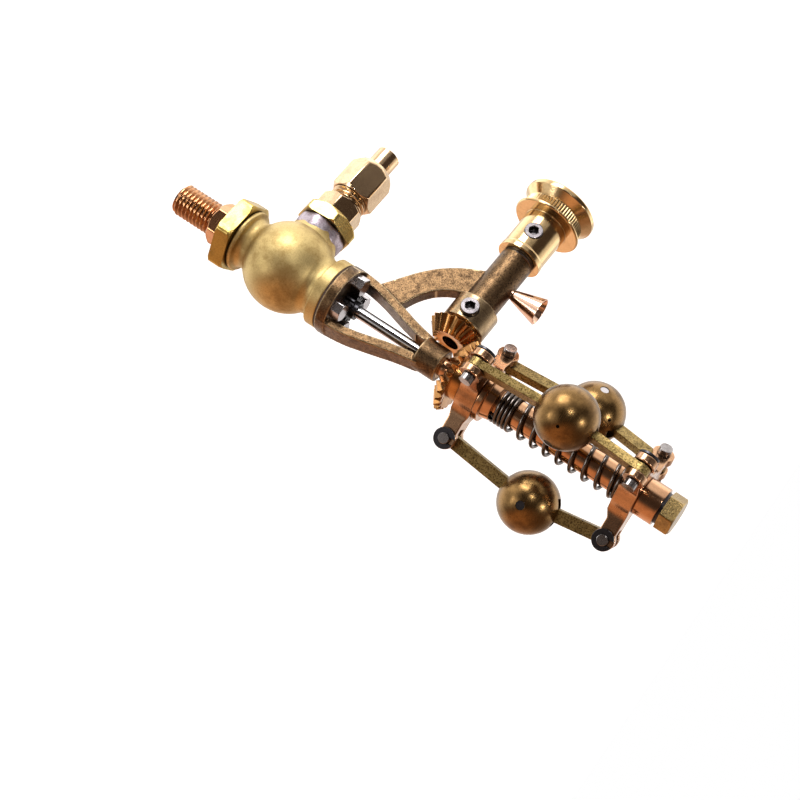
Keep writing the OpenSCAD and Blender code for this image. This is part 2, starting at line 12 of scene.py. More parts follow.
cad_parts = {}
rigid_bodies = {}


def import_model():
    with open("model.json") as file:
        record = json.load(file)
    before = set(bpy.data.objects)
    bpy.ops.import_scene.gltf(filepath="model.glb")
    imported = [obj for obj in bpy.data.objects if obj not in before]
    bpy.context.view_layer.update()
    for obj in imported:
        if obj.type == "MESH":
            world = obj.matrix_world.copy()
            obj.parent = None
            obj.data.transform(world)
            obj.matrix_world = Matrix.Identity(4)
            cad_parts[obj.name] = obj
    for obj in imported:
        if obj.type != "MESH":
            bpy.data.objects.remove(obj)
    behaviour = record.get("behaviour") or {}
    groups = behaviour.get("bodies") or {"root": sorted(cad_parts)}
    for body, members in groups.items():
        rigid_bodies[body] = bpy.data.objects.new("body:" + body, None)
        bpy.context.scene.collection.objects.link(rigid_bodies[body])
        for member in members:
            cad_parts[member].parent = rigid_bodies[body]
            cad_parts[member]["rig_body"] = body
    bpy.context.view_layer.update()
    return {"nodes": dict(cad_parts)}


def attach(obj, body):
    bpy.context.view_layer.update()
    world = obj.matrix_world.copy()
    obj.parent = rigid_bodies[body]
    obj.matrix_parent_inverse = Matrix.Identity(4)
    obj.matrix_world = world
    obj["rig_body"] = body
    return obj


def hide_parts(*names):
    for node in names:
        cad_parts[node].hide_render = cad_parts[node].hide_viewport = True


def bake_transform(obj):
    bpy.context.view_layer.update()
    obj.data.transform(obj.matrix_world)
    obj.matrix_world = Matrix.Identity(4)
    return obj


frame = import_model()
MM = 0.001

# Stations along the spindle, measured up from the inlet's end
SMALL_HEX_Z = 7.7
LARGE_HEX_Z = 10.65
NECK_Z = 13.35
VALVE_Z = 22.3
GASKET_Z = 31.6
BOLT_Z = 33.8
BOSS_Z = 48.5
SHAFT_Z = 51.2
SPIDER_Z = 57.65
SPRING_Z = 63.5
HEAD_Z = 86.4
HUB_Z = 89.7
NUT_Z = 93.6

# Stations along the outlet, measured out from the spindle
BEAD_X = 7.7
OUTLET_HEX_X = 8.9
FITTING_X = 11.3
OUTLET_NUT_X = 16.4
PIPE_X = 23.0
PIPE_END_X = 27.1

# Stations along the drive shaft, measured out from the spindle
SHAFT_X = 6.2
COLLAR_X = 7.3
CUP_X = 17.2
PULLEY_X = 23.2
SHAFT_LENGTH = 29

# Radii
VALVE_R = 7.5
ROD_R = 1.0
JOURNAL_R = 1.6
SLEEVE_R = 2.3
SHAFT_R = 1.5
SCREW_R = 1.56


def along_x(x, z):
    """A place whose local +Z points to -X, at a distance from the spindle."""
    return Matrix.Translation((-x, 0, z)) @ Matrix.Rotation(math.radians(-90), 4, "Y")


def on_outlet(x):
    """A place on the outlet's axis, at a distance from the spindle."""
    return along_x(x, VALVE_Z)


def on_shaft(x):
    """A place on the drive shaft's axis, at a distance from the spindle."""
    return along_x(x, SHAFT_Z)


# ---- Mesh tools ----

class Shape:
    """Points and faces in millimetres, put together from simple swept surfaces."""

    def __init__(self):
        self.points, self.faces, self.count = [], [], 0

    def grid(self, points, place=None, wrap=True, close=False):
        """Adds rows of points; each row is joined to the next, and the last to the first when closed."""
        rows, cols, _ = points.shape
        flat = points.reshape(-1, 3)
        if place is not None:
            m = np.array(place)
            flat = flat @ m[:3, :3].T + m[:3, 3]
        base = self.count
        for i in range(rows if close else rows - 1):
            for j in range(cols if wrap else cols - 1):
                a, b = base + i * cols, base + (i + 1) % rows * cols
                k = (j + 1) % cols
                self.faces.append((a + j, a + k, b + k, b + j))
        self.points.append(flat)
        self.count += len(flat)
        return self

    def lathe(self, profile, place=None, close=False, seg=96):
        """Turns a profile of (radius, height) about the local Z axis."""
        angle = np.linspace(0, 2 * math.pi, seg, endpoint=False)
        pr = np.array(profile, float)
        points = np.stack([pr[:, :1] * np.cos(angle), pr[:, :1] * np.sin(angle),
                           np.repeat(pr[:, 1:], seg, 1)], -1)
        return self.grid(points, place, close=close)

    def wavy(self, heights, radius, bore, place=None, seg=144):
        """A ring whose outside radius is a function of angle and height, with a plain bore."""
        angle = np.linspace(0, 2 * math.pi, seg, endpoint=False)
        rows = [(bore, heights[0])] + [(None, z) for z in heights] + [(bore, heights[-1])]
        out = []
        for r, z in rows:
            rr = np.full(seg, r) if r is not None else radius(angle, z)
            out.append(np.stack([rr * np.cos(angle), rr * np.sin(angle), np.full(seg, z)], -1))
        return self.grid(np.array(out), place, close=True)

    def hexagon(self, af, z0, z1, bore, turn=0, low=None, high=None, place=None):
        """A hexagon with its corners chamfered by cones: low and high are (radius at the face, length)."""
        low_length = low[1] if low else 0.05
        high_length = high[1] if high else 0.05
        steps = np.concatenate([np.linspace(z0, z0 + low_length, 9), np.linspace(z1 - high_length, z1, 9)])
        steps = np.unique(np.round(steps, 5))
        corner = af / 2 / math.cos(math.pi / 6)

        def radius(angle, z):
            # corners lie at the multiples of 60 degrees, flats halfway
            a = (angle - math.radians(turn) + math.pi / 6) % (math.pi / 3) - math.pi / 6
            r = af / 2 / np.cos(np.abs(a) - math.pi / 6)
            r = np.minimum(r, corner * 0.988)
            for end, cone, sign in ((z0, low, 1), (z1, high, -1)):
                if cone:
                    share = np.clip((z - end) * sign / cone[1], 0, 1)
                    r = np.minimum(r, cone[0] + (corner - cone[0]) * share)
                else:
                    r = r - 0.05 * (abs(z - end) < 0.02)
            return r
        return self.wavy(steps, radius, bore, place)

    def thread(self, r, pitch, depth, z0, z1, bore, place=None, lead=0.4):
        """A screw thread with rounded crests, chamfered where it starts and ends."""
        n = int((z1 - z0) / pitch * 10) + 1

        def radius(angle, z):
            wave = (z / pitch - angle / (2 * math.pi)) % 1
            groove = np.clip(1.7 * np.abs(wave - 0.5) - 0.1, 0, 0.62) / 0.62
            edge = np.clip(min(z - z0, z1 - z) / lead, 0, 1)
            return r - depth * (1 - groove) - depth * 0.9 * (1 - edge)
        return self.wavy(np.linspace(z0, z1, n), radius, bore, place, seg=96)

    def mesh(self, name):
        me = bpy.data.meshes.new(name)
        me.from_pydata((np.concatenate(self.points) * MM).tolist(), [], self.faces)
        bm = bmesh.new()
        bm.from_mesh(me)
        bmesh.ops.remove_doubles(bm, verts=bm.verts, dist=1e-7)
        bmesh.ops.recalc_face_normals(bm, faces=bm.faces)
        bm.to_mesh(me)
        bm.free()
        return me


def soft(profile, r=0.12, steps=3, close=False):
    """Rounds the corners of a profile, so that its edges catch the light."""
    pts = [Vector(p) for p in profile]
    out, n = [], len(pts)
    for i, p in enumerate(pts):
        if not close and i in (0, n - 1):
            out.append(tuple(p))
            continue
        a, b = pts[i - 1] - p, pts[(i + 1) % n] - p
        reach = min(r, a.length * 0.45, b.length * 0.45)
        if reach < 1e-4 or abs(a.normalized().cross(b.normalized())) < 0.15:
            out.append(tuple(p))
            continue
        s, e = p + a.normalized() * reach, p + b.normalized() * reach
        # a point held close to each end of the arc keeps the flat next to it flat
        out.append(tuple(p + a.normalized() * min(reach * 1.5, a.length * 0.48)))
        for k in range(steps + 1):
            t = k / steps
            out.append(tuple(s * (1 - t) ** 2 + p * 2 * t * (1 - t) + e * t * t))
        out.append(tuple(p + b.normalized() * min(reach * 1.5, b.length * 0.48)))
    return out


def smooth(me, angle=32):
    """Smooth shading, with edges sharper than the angle kept."""
    me.polygons.foreach_set("use_smooth", [True] * len(me.polygons))
    me.set_sharp_from_angle(angle=math.radians(angle))


def piece(name, me, material, *nodes, angle=32):
    """A new piece that stands for CAD nodes of one body."""
    smooth(me, angle)
    me.materials.clear()
    me.materials.append(material)
    obj = bpy.data.objects.new(name, me)
    bpy.context.scene.collection.objects.link(obj)
    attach(obj, frame["nodes"][nodes[0]]["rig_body"])
    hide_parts(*nodes)
    return obj


def cad_bm(node):
    """A CAD node's mesh as one closed skin, in millimetres, with its flat faces merged."""
    bm = bmesh.new()
    bm.from_mesh(frame["nodes"][node].data)
    bm.transform(Matrix.Scale(1 / MM, 4))
    bmesh.ops.remove_doubles(bm, verts=bm.verts, dist=1e-4)
    bmesh.ops.dissolve_limit(bm, angle_limit=math.radians(0.6), verts=bm.verts, edges=bm.edges)
    return bm


def longer_teeth(bm):
    """Draws the wheel's teeth out along their cone, as far as they reach in the photo."""
    apex = Vector((0, 0, SHAFT_Z))
    teeth_from, hub_r, drawn_out = 6.3, 4, 1.1
    for vert in bm.verts:
        reach = vert.co - apex
        if reach.length > teeth_from and reach.xy.length > hub_r:
            vert.co = apex + reach * drawn_out


def rounded(name, node, material, width, angle=38, segments=2, change=None):
    """A copy of a CAD node with its sharp edges broken."""
    bm = cad_bm(node)
    if change:
        change(bm)
    edges = [e for e in bm.edges if len(e.link_faces) == 2 and e.calc_face_angle(0) > math.radians(angle)]
    bmesh.ops.bevel(bm, geom=edges, offset=width, segments=segments, profile=0.5, affect="EDGES",
                    clamp_overlap=True)
    bm.transform(Matrix.Scale(MM, 4))
    me = bpy.data.meshes.new(name)
    bm.to_mesh(me)
    bm.free()
    return piece(name, me, material, node, angle=20)


def applied(obj):
    """The object's mesh with its modifiers worked in."""
    graph = bpy.context.evaluated_depsgraph_get()
    me = bpy.data.meshes.new_from_object(obj.evaluated_get(graph))
    bpy.data.objects.remove(obj)
    return me


def temporary(me):
    """An object for a mesh, to be worked on or finished by the caller."""
    obj = bpy.data.objects.new("temporary", me)
    bpy.context.scene.collection.objects.link(obj)
    return obj


def cut(me, cutter):
    """Takes a cutter out of a mesh."""
    obj, tool = temporary(me), temporary(cutter)
    mod = obj.modifiers.new("cut", "BOOLEAN")
    mod.operation, mod.object, mod.solver = "DIFFERENCE", tool, "EXACT"
    bpy.context.view_layer.update()
    out = applied(obj)
    bpy.data.objects.remove(tool)
    return out


def flowed(name, node, material, voxel, rounds):
    """A copy of a CAD node as one even skin, with its edges and corners softened."""
    bm = cad_bm(node)
    me = bpy.data.meshes.new(name)
    bm.to_mesh(me)
    bm.free()
    obj = temporary(me)
    skin = obj.modifiers.new("skin", "REMESH")
    skin.mode, skin.voxel_size = "VOXEL", voxel
    flow = obj.modifiers.new("flow", "SMOOTH")
    flow.factor, flow.iterations = 0.5, rounds
    bpy.context.view_layer.update()
    me = applied(obj)
    me.transform(Matrix.Scale(MM, 4))
    return piece(name, me, material, node, angle=70)


# ---- Materials ----

def srgb(code):
    """A web colour as linear values with alpha."""
    parts = [int(code[i:i + 2], 16) / 255 for i in (1, 3, 5)]
    return tuple(c / 12.92 if c <= 0.04045 else ((c + 0.055) / 1.055) ** 2.4 for c in parts) + (1,)


class Graph:
    """A small helper for writing shader nodes."""

    def __init__(self, tree):
        self.tree = tree
        tree.nodes.clear()

    def add(self, kind, ins=(), **props):
        n = self.tree.nodes.new(kind)
        for key, value in props.items():
            setattr(n, key, value)
        for key, value in dict(ins).items():
            if isinstance(value, bpy.types.NodeSocket):
                self.tree.links.new(value, n.inputs[key])
            else:
                n.inputs[key].default_value = value
        return n

    def math(self, op, a, b=0.0):
        return self.add("ShaderNodeMath", {0: a, 1: b}, operation=op).outputs[0]

    def vec(self, op, a, b=(0, 0, 0), out=0):
        return self.add("ShaderNodeVectorMath", {0: a, 1: b}, operation=op).outputs[out]

    def span(self, value, a, b, c=0.0, d=1.0, kind="SMOOTHSTEP"):
        ins = {"Value": value, "From Min": a, "From Max": b, "To Min": c, "To Max": d}
        return self.add("ShaderNodeMapRange", ins, interpolation_type=kind).outputs[0]

    def mix(self, f, a, b):
        return self.add("ShaderNodeMix", {0: f, 6: a, 7: b}, data_type="RGBA").outputs[2]

    def noise(self, vector, scale, detail=4.0, rough=0.55):
        ins = {"Vector": vector, "Scale": scale, "Detail": detail, "Roughness": rough}
        return self.add("ShaderNodeTexNoise", ins).outputs[0]

    def scaled(self, vector, amounts):
        return self.vec("MULTIPLY", vector, amounts)


def metal(name, colour, tarnish, rough, stain, cloud, speck, grain, lines,
          turned=None, brushed=(1, 1, 18), crevice_shade=0.75, metallic=1.0, dots=(), pits=0.0, edge=0.0):
    """A worn metal: tarnish clouds, fine specks, tool marks, painted shade in crevices, painted edge
    highlights.

    rough is the roughness of the clean metal. stain and speck are how much tarnish lies in clouds and in
    specks, and cloud is how many clouds there are to a millimetre. grain, lines and pits are the depths
    of the grain, the tool marks and the pores in micrometres. turned is the axis of the tool marks ("x"
    or "z") with its height, and brushed stretches the marks of a piece that isn't turned. grime is how
    dark the painted shade in the crevices is, dots are dark places as (centre, radius), used for real
    marks and for painted shade alike, and edge is how much painted highlight lies on the outer edges.
    """
    mat = bpy.data.materials.new(name)
    mat.use_nodes = True
    g = Graph(mat.node_tree)
    p = g.vec("SCALE", g.add("ShaderNodeTexCoord").outputs["Object"])
    g.tree.nodes[-1].inputs["Scale"].default_value = 1 / MM
    # tool marks
    if turned:
        axis, height = turned
        xyz = g.add("ShaderNodeSeparateXYZ", {0: g.vec("SUBTRACT", p, (0, 0, height))}).outputs
        along, others = (xyz[2], xyz[:2]) if axis == "z" else (xyz[0], xyz[1:])
        flat = g.add("ShaderNodeCombineXYZ", {0: others[0], 1: others[1]}).outputs[0]
        r = g.vec("LENGTH", flat, out=1)
        track = g.add("ShaderNodeCombineXYZ", {0: r, 1: along}).outputs[0]
        marks = g.noise(g.scaled(track, (9, 9, 1)), 1, 5, 0.75)
    else:
        marks = g.noise(g.scaled(p, brushed), 0.9, 5, 0.7)
    # tarnish, specks, scratches, and painted shade in the crevices from ambient occlusion
    clouds = g.noise(p, cloud, 7, 0.62)
    specks = g.noise(p, 4.3, 5, 0.7)
    scratch = g.noise(g.scaled(g.vec("ADD", p, (3.1, 7.7, 1.3)), (0.5, 1.6, 9)), 0.7, 3, 0.5)
    scratch = g.span(g.math("ABSOLUTE", g.math("SUBTRACT", scratch, 0.5)), 0.0, 0.012, 1, 0)
    patch = g.span(clouds, 0.44, 0.68, 0, stain)
    occlusion = g.add("ShaderNodeAmbientOcclusion", {"Distance": 0.7 * MM}, samples=6).outputs["AO"]
    painted_shade = g.span(occlusion, 0.25, 0.8, crevice_shade, 0)
    base = g.mix(patch, srgb(colour), srgb(tarnish))
    base = g.mix(g.span(specks, 0.42, 0.72, 0, speck * 2), base, srgb(tarnish))
    base = g.mix(g.math("MULTIPLY", scratch, 0.22), base, srgb(tarnish))
    # painted shade: a near-black brown mixed in where ambient occlusion finds crevices and gaps
    base = g.mix(painted_shade, base, srgb("#1c120b"))
    roughness = g.math("ADD", g.math("MULTIPLY", patch, 0.22), rough)
    roughness = g.math("ADD", roughness, g.span(marks, 0.3, 0.7, -0.05, 0.08, "LINEAR"))
    roughness = g.math("ADD", roughness, g.math("MULTIPLY", painted_shade, 0.3))
    # painted highlight on the outer edges, and dark spots
    if edge:
        sharp = g.add("ShaderNodeNewGeometry").outputs["Pointiness"]
        # painted highlight: a pale colour laid on sharp convex edges
        base = g.mix(g.span(sharp, 0.505, 0.56, 0, edge), base, srgb("#d6bd95"))
    for centre, size in dots:
        far = g.vec("DISTANCE", p, centre, out=1)
        base = g.mix(g.span(far, size * 0.85, size, 1, 0), base, srgb("#120c08"))
        roughness = g.math("ADD", roughness, g.span(far, size * 0.85, size, 0.4, 0))
    # relief
    bump = g.add("ShaderNodeBump", {"Height": marks, "Distance": lines * 1e-6, "Strength": 1.0})
    bump = g.add("ShaderNodeBump", {"Height": specks, "Distance": grain * 1e-6, "Strength": 1.0,
                                    "Normal": bump.outputs[0]})
    if pits:
        pores = g.add("ShaderNodeTexVoronoi", {"Vector": p, "Scale": 2.6}).outputs["Distance"]
        bump = g.add("ShaderNodeBump", {"Height": g.span(pores, 0.0, 0.35), "Distance": pits * 1e-6,
                                        "Strength": 1.0, "Normal": bump.outputs[0]})
    shader = g.add("ShaderNodeBsdfPrincipled", {
        "Base Color": base, "Metallic": metallic, "Roughness": roughness, "Normal": bump.outputs[0]})
    g.add("ShaderNodeOutputMaterial", {0: shader.outputs[0]})
    return mat


BRASS_SATIN = metal("satin_brass", "#c9b27a", "#8d6f3e", rough=0.46, stain=0.6, cloud=0.22, speck=0.22,
                    grain=14, lines=2, turned=("z", 0))
BRASS_HEX = metal("satin_brass_hexagon", "#c6a95f", "#7a5c28", rough=0.3, stain=0.45, cloud=0.5,
                  speck=0.2, grain=8, lines=3)
BRASS_OUTLET = metal("satin_brass_outlet", "#c3ab6c", "#86682e", rough=0.26, stain=0.3, cloud=0.3,
                     speck=0.1, grain=5, lines=3, turned=("x", VALVE_Z))
BRASS_POLISHED = metal("polished_brass_outlet", "#d9bb95", "#845c38", rough=0.14, stain=0.3, cloud=0.35,
                       speck=0.16, grain=4, lines=3, turned=("x", VALVE_Z))
BRASS_DRIVE = metal("polished_brass_pulley", "#d8ba8b", "#85602f", rough=0.11, stain=0.25, cloud=0.35,
                    speck=0.08, grain=2, lines=6, turned=("x", SHAFT_Z))
COLLAR_BRONZE = metal("collar_bronze", "#a89070", "#58432a", rough=0.24, stain=0.4, cloud=0.35,
                      speck=0.25, grain=8, lines=4, turned=("x", SHAFT_Z))
COPPER_STUB = metal("copper_bronze_inlet", "#c8946a", "#66341e", rough=0.16, stain=0.3, cloud=0.35,
                    speck=0.08, grain=1, lines=3, turned=("z", 0))
COPPER_CUP = metal("copper_bronze_cup", "#deb9a0", "#84533d", rough=0.14, stain=0.15, cloud=0.4,
                   speck=0.04, grain=1, lines=3, turned=("z", 0))
# The dark place on the pinion's face is painted shade, standing for the shade in and round its bore
COPPER_GEAR = metal("copper_bronze_gears", "#c08c55", "#553018", rough=0.17, stain=0.3, cloud=0.4,
                    speck=0.12, grain=2, lines=2, dots=(((-5.2, 0, SHAFT_Z), 1.7),))
COPPER_SPIDER = metal("copper_bronze_spiders", "#c29a78", "#5f3a24", rough=0.18, stain=0.35, cloud=0.4,
                      speck=0.15, grain=3, lines=5, brushed=(1.2, 1.2, 14))
COPPER_SLEEVE = metal("copper_bronze_spindle", "#c79a76", "#60341d", rough=0.1, stain=0.25, cloud=0.4,
                      speck=0.08, grain=1, lines=6, turned=("z", 0))
# The casting's edge value paints a highlight on its outer edges
BRONZE_CAST = metal("cast_bronze", "#745b40", "#2c2018", rough=0.3, stain=0.55, cloud=0.9, speck=0.6,
                    grain=36, lines=0, crevice_shade=0.95, pits=9, edge=0.75)
BRASS_LINK = metal("link_brass", "#a48c58", "#42331a", rough=0.36, stain=0.45, cloud=0.7, speck=0.75,
                   grain=30, lines=4, brushed=(9, 9, 1.2), crevice_shade=0.7)
# Each ball shows a small centre mark from the lathe
MARKS = {1: (12.3, 9.5, 75.8), 2: (4.47, -14.01, 75.8), 3: (-8.16, 1.03, 78.67)}
BALLS = {i: metal(f"antique_brass_{i}", "#866840", "#412c17", rough=0.24, stain=0.55, cloud=0.3, speck=0.2,
                  grain=4, lines=1, dots=((mark, 0.3),)) for i, mark in MARKS.items()}
STEEL_BOLT = metal("bright_steel", "#b9b4b6", "#6d6460", rough=0.2, stain=0.2, cloud=0.5, speck=0.05,
                   grain=1, lines=1, brushed=(3, 3, 9))
STEEL_PIN = metal("pin_steel", "#9a9594", "#4a4341", rough=0.2, stain=0.4, cloud=0.6, speck=0.12, grain=2,
                  lines=2)
STEEL_ROD = metal("rod_steel", "#c9c9cd", "#5e5a5a", rough=0.1, stain=0.2, cloud=0.3, speck=0.04, grain=1,
                  lines=3, brushed=(2, 2, 0.4))
STEEL_DARK = metal("dark_steel", "#4b4a4e", "#221f20", rough=0.28, stain=0.4, cloud=0.6, speck=0.2,
                   grain=4, lines=2)
STEEL_SCREW = metal("screw_steel", "#6d686a", "#2c2829", rough=0.16, stain=0.4, cloud=0.6, speck=0.15,
                    grain=3, lines=2, crevice_shade=0.95)
STEEL_SPRING = metal("spring_steel", "#6f6762", "#2b2523", rough=0.17, stain=0.4, cloud=0.5, speck=0.1,
                     grain=2, lines=3, crevice_shade=0.85)
SOLDER = metal("solder", "#b3a8b0", "#66545a", rough=0.38, stain=0.6, cloud=0.6, speck=0.35, grain=22,
               lines=0, pits=12)
NUT_BRASS = metal("dull_brass", "#a98f5e", "#4e3c20", rough=0.24, stain=0.4, cloud=0.5, speck=0.25,
                  grain=8, lines=3, turned=("z", 0))
GASKET = metal("gasket", "#4c3a30", "#2a1f19", rough=0.85, stain=0.6, cloud=0.8, speck=0.4, grain=20,
               lines=0, metallic=0.0)
PACKING = metal("packing", "#8a8478", "#565044", rough=0.9, stain=0.6, cloud=1.2, speck=0.4, grain=30,
                lines=0, metallic=0.0)

# ---- Valve ----

arc = np.radians(np.linspace(-52.5, 46.5, 30))
sphere = [(VALVE_R * math.cos(a), VALVE_Z + VALVE_R * math.sin(a)) for a in arc]
neck = [(5.0, NECK_Z), (5.3, 13.6), (5.3, 14.2), (4.5, 14.45), (4.2, 15.2), (4.42, 16.2)]
flange = [(5.0, 28.25), (4.9, 28.7), (4.95, 29.5), (5.45, 29.6), (5.9, 29.75), (5.9, GASKET_Z),
          (2.0, GASKET_Z)]
body = Shape()
body.lathe([(1.5, NECK_Z)] + soft(neck, 0.3) + sphere + soft(flange, 0.16), seg=128)
body.lathe([(4.75, 5.4), (4.4, 6.3), (4.3, 6.9), (4.3, 8.1), (1.5, 8.1)], on_outlet(0))
piece("valve_shell", body.mesh("valve_shell"), BRASS_SATIN, "valve_body", angle=40)

stub = Shape()
stub.thread(2.75, 0.75, 0.36, 0, SMALL_HEX_Z + 0.05, 1.5)
stub.hexagon(6.6, SMALL_HEX_Z, LARGE_HEX_Z, 1.5, turn=-36, low=(3.3, 0.45), high=(3.45, 0.3))
piece("inlet_thread_and_hexagon", stub.mesh("inlet"), COPPER_STUB, "inlet_stub")
union = Shape().hexagon(11.5, LARGE_HEX_Z, NECK_Z, 2.6, turn=1, low=(6.3, 0.3), high=(6.1, 0.45))
piece("large_hexagon", union.mesh("large_hexagon"), BRASS_HEX, "inlet_union_hex")

# ---- Outlet ----

outlet = on_outlet(0)
bead = Shape()
theta = np.linspace(0, 2 * math.pi, 96, endpoint=False)
phi = np.linspace(0, 2 * math.pi, 20, endpoint=False)[:, None]
wobble = 1 + 0.12 * np.sin(3 * theta + 1) + 0.08 * np.sin(7 * theta) + 0.05 * np.sin(11 * theta + 2)
radius = 3.9 + 0.5 * np.sign(np.cos(phi)) * np.abs(np.cos(phi)) ** 0.5 * wobble
height = BEAD_X + 1.35 * np.sin(phi) * wobble
bead.grid(np.stack([radius * np.cos(theta), radius * np.sin(theta), height], -1), outlet, close=True)
piece("solder_bead", bead.mesh("bead"), SOLDER, "outlet_solder_ring", angle=80)

first_hex = Shape().hexagon(9.2, OUTLET_HEX_X, FITTING_X, 2.4, turn=-5, low=(5.0, 0.3), high=(4.65, 0.8),
                            place=outlet)
piece("outlet_hexagon", first_hex.mesh("outlet_hexagon"), BRASS_OUTLET, "outlet_hex")

fitting = Shape()
fitting.hexagon(6.9, FITTING_X, 14.6, 1.5, turn=30.7, low=(3.6, 0.3), high=(3.5, 0.5), place=outlet)
fitting.thread(3.25, 0.75, 0.4, 14.55, 16.6, 1.5, outlet, lead=0.3)
piece("outlet_fitting_thread", fitting.mesh("fitting"), BRASS_POLISHED, "outlet_fitting")
cap = Shape().hexagon(7.1, OUTLET_NUT_X, 23.3, 2.1, turn=24, low=(3.5, 0.6), high=(3.1, 1.3), place=outlet)
piece("outlet_nut", cap.mesh("outlet_nut"), BRASS_POLISHED, "outlet_union_nut")
pipe = soft([(1.4, PIPE_X), (2.1, PIPE_X), (2.1, PIPE_END_X), (1.4, PIPE_END_X)], 0.12, close=True)
piece("outlet_pipe", Shape().lathe(pipe, outlet, True).mesh("outlet_pipe"), BRASS_POLISHED, "outlet_tube")

# ---- Bracket ----

AXIS = 0.01
BOLT_STEP, BOLT_FOOT, BOLT_R = 2.8, 29, 0.75
shank = [(AXIS, BOLT_FOOT), (BOLT_R, BOLT_FOOT), (BOLT_R, BOLT_Z + 0.1), (AXIS, BOLT_Z + 0.1)]
bolts = Shape()
for x in (-BOLT_STEP, BOLT_STEP):
    for y in (-BOLT_STEP, BOLT_STEP):
        spot = Matrix.Translation((x, y, 0))
        bolts.hexagon(2.8, BOLT_Z, BOLT_Z + 1.7, AXIS, turn=16, high=(1.46, 0.14), place=spot)
        bolts.lathe(shank, spot, True, 24)
piece("flange_bolt_heads", bolts.mesh("bolts"), STEEL_BOLT, "flange_bolts")

GLAND_STEP_Z = BOLT_Z + 1.6


def serrated(angle, z):
    """The gland nut's outside: fourteen teeth below its step and a plain sleeve above."""
    if z > GLAND_STEP_Z:
        return np.full(len(angle), 1.5)
    return 2.05 + 0.25 * np.sign(np.sin(14 * angle))


levels = [BOLT_Z - 0.3, GLAND_STEP_Z - 0.01, GLAND_STEP_Z + 0.01, BOLT_Z + 2.4]
gland = Shape().wavy(levels, serrated, 1.05)
# The nut's dark colour is painted shade, for the nut sits in the bracket's shadow
piece("gland_castle_nut", gland.mesh("gland"), STEEL_DARK, "gland_nut")

flowed("bracket_casting", "bracket", BRONZE_CAST, 0.13, 7)

# ---- Drive shaft ----

funnel = [(0.0, 53.0), (0.85, 53.0), (0.85, 54.3), (1.0, 54.5), (2.4, 59.5), (2.18, 59.5), (0.62, 55.2),
          (0.5, 53.4), (0.0, 53.4)]
cup = Shape().lathe(soft(funnel, 0.08), Matrix.Translation((-CUP_X, 0, 0)))
piece("oil_funnel", cup.mesh("oil_funnel"), COPPER_CUP, "oil_cup")

drive = on_shaft(0)
bar = [(0, SHAFT_X), (SHAFT_R, SHAFT_X), (SHAFT_R, SHAFT_X + SHAFT_LENGTH), (0, SHAFT_X + SHAFT_LENGTH)]
piece("drive_rod", Shape().lathe(soft(bar, 0.15), drive).mesh("drive_rod"), STEEL_ROD, "drive_shaft")


def screw_hole(x):
    """A cutter for a set screw's hole, towards the camera's side of the shaft."""
    place = on_shaft(x) @ Matrix.Rotation(math.radians(90), 4, "X")
    near, far = 1.2, 8
    hole = Shape().lathe([(0, near), (SCREW_R, near), (SCREW_R, far), (0, far)], place, seg=48)
    return hole.mesh("hole")


ring = [(SHAFT_R, COLLAR_X), (3.8, COLLAR_X), (3.8, COLLAR_X + 4.6), (SHAFT_R, COLLAR_X + 4.6)]
collar = Shape().lathe(soft(ring, 0.2, close=True), drive, True)
piece("collar", cut(collar.mesh("collar"), screw_hole(COLLAR_X + 2)), COLLAR_BRONZE, "shaft_collar")
pulley = [(SHAFT_R, PULLEY_X), (3.9, PULLEY_X), (3.9, 24.1), (3.8, 24.3), (3.8, 31.2), (5.85, 31.2),
          (6.05, 31.4), (6.05, 31.65), (5.0, 31.8), (5.0, 33.7), (6.45, 35.0), (6.45, 35.7), (6.25, 35.9),
          (SHAFT_R, 35.9)]
wheel = Shape().lathe(soft(pulley, 0.1, close=True), drive, True, 128)
piece("pulley_body", cut(wheel.mesh("pulley"), screw_hole(PULLEY_X + 4)), BRASS_DRIVE, "pulley")


def knurled(angle, z):
    """Ridges round the pulley's groove, running out at both ends."""
    height = 0.42 if 31.95 < z < 33.55 else 0.0
    return 5.0 + height * np.abs(np.sin(32 * angle))


knurl = Shape().wavy([31.9, 32.0, 33.5, 33.6], knurled, 4.6, drive, 512)
piece("pulley_knurl", knurl.mesh("knurl"), BRASS_DRIVE, "pulley", angle=50)
rounded("collar_screw", "collar_set_screw", STEEL_SCREW, 0.16)
rounded("pulley_screw", "pulley_set_screw", STEEL_SCREW, 0.16)
rounded("pinion_teeth", "pinion_gear", COPPER_GEAR, 0.05)
rounded("wheel_teeth", "wheel_gear", COPPER_GEAR, 0.05, change=longer_teeth)

# ---- Spindle, spiders and spring ----

SLEEVE_TOP = HUB_Z - 2
sleeve = [(1.05, BOSS_Z + 0.1), (JOURNAL_R, BOSS_Z + 0.1), (JOURNAL_R, SPIDER_Z), (SLEEVE_R, SPIDER_Z),
          (SLEEVE_R, SLEEVE_TOP), (1.05, SLEEVE_TOP)]
seat = [(SLEEVE_R, 61.0), (4.3, 61.0), (4.3, 62.0), (3.5, 62.0), (3.2, SPRING_Z), (SLEEVE_R, SPRING_Z)]
hub = [(1.9, HUB_Z), (3.15, HUB_Z), (3.15, HUB_Z + 3.4), (1.9, HUB_Z + 3.4)]
TURNED = (("spindle_sleeve", "spindle", sleeve, 0.1), ("spring_cup", "spring_seat", seat, 0.14),
          ("head_sleeve", "head_hub", hub, 0.14))
for name, node, outline, edge in TURNED:
    body = Shape().lathe(soft(outline, edge, close=True), close=True)
    piece(name, body.mesh(name), COPPER_SLEEVE, node)
nut = Shape().hexagon(5.6, NUT_Z, NUT_Z + 2.4, AXIS, turn=14, high=(2.8, 0.3))
piece("top_hexagon", nut.mesh("top_hexagon"), NUT_BRASS, "top_nut")
bar = [(0, 22.7), (ROD_R, 22.7), (ROD_R, 94.2), (0, 94.2)]
valve_rod = Shape().lathe(soft(bar, 0.1), seg=48)
piece("valve_rod_bar", valve_rod.mesh("valve_rod_bar"), STEEL_ROD, "valve_rod")

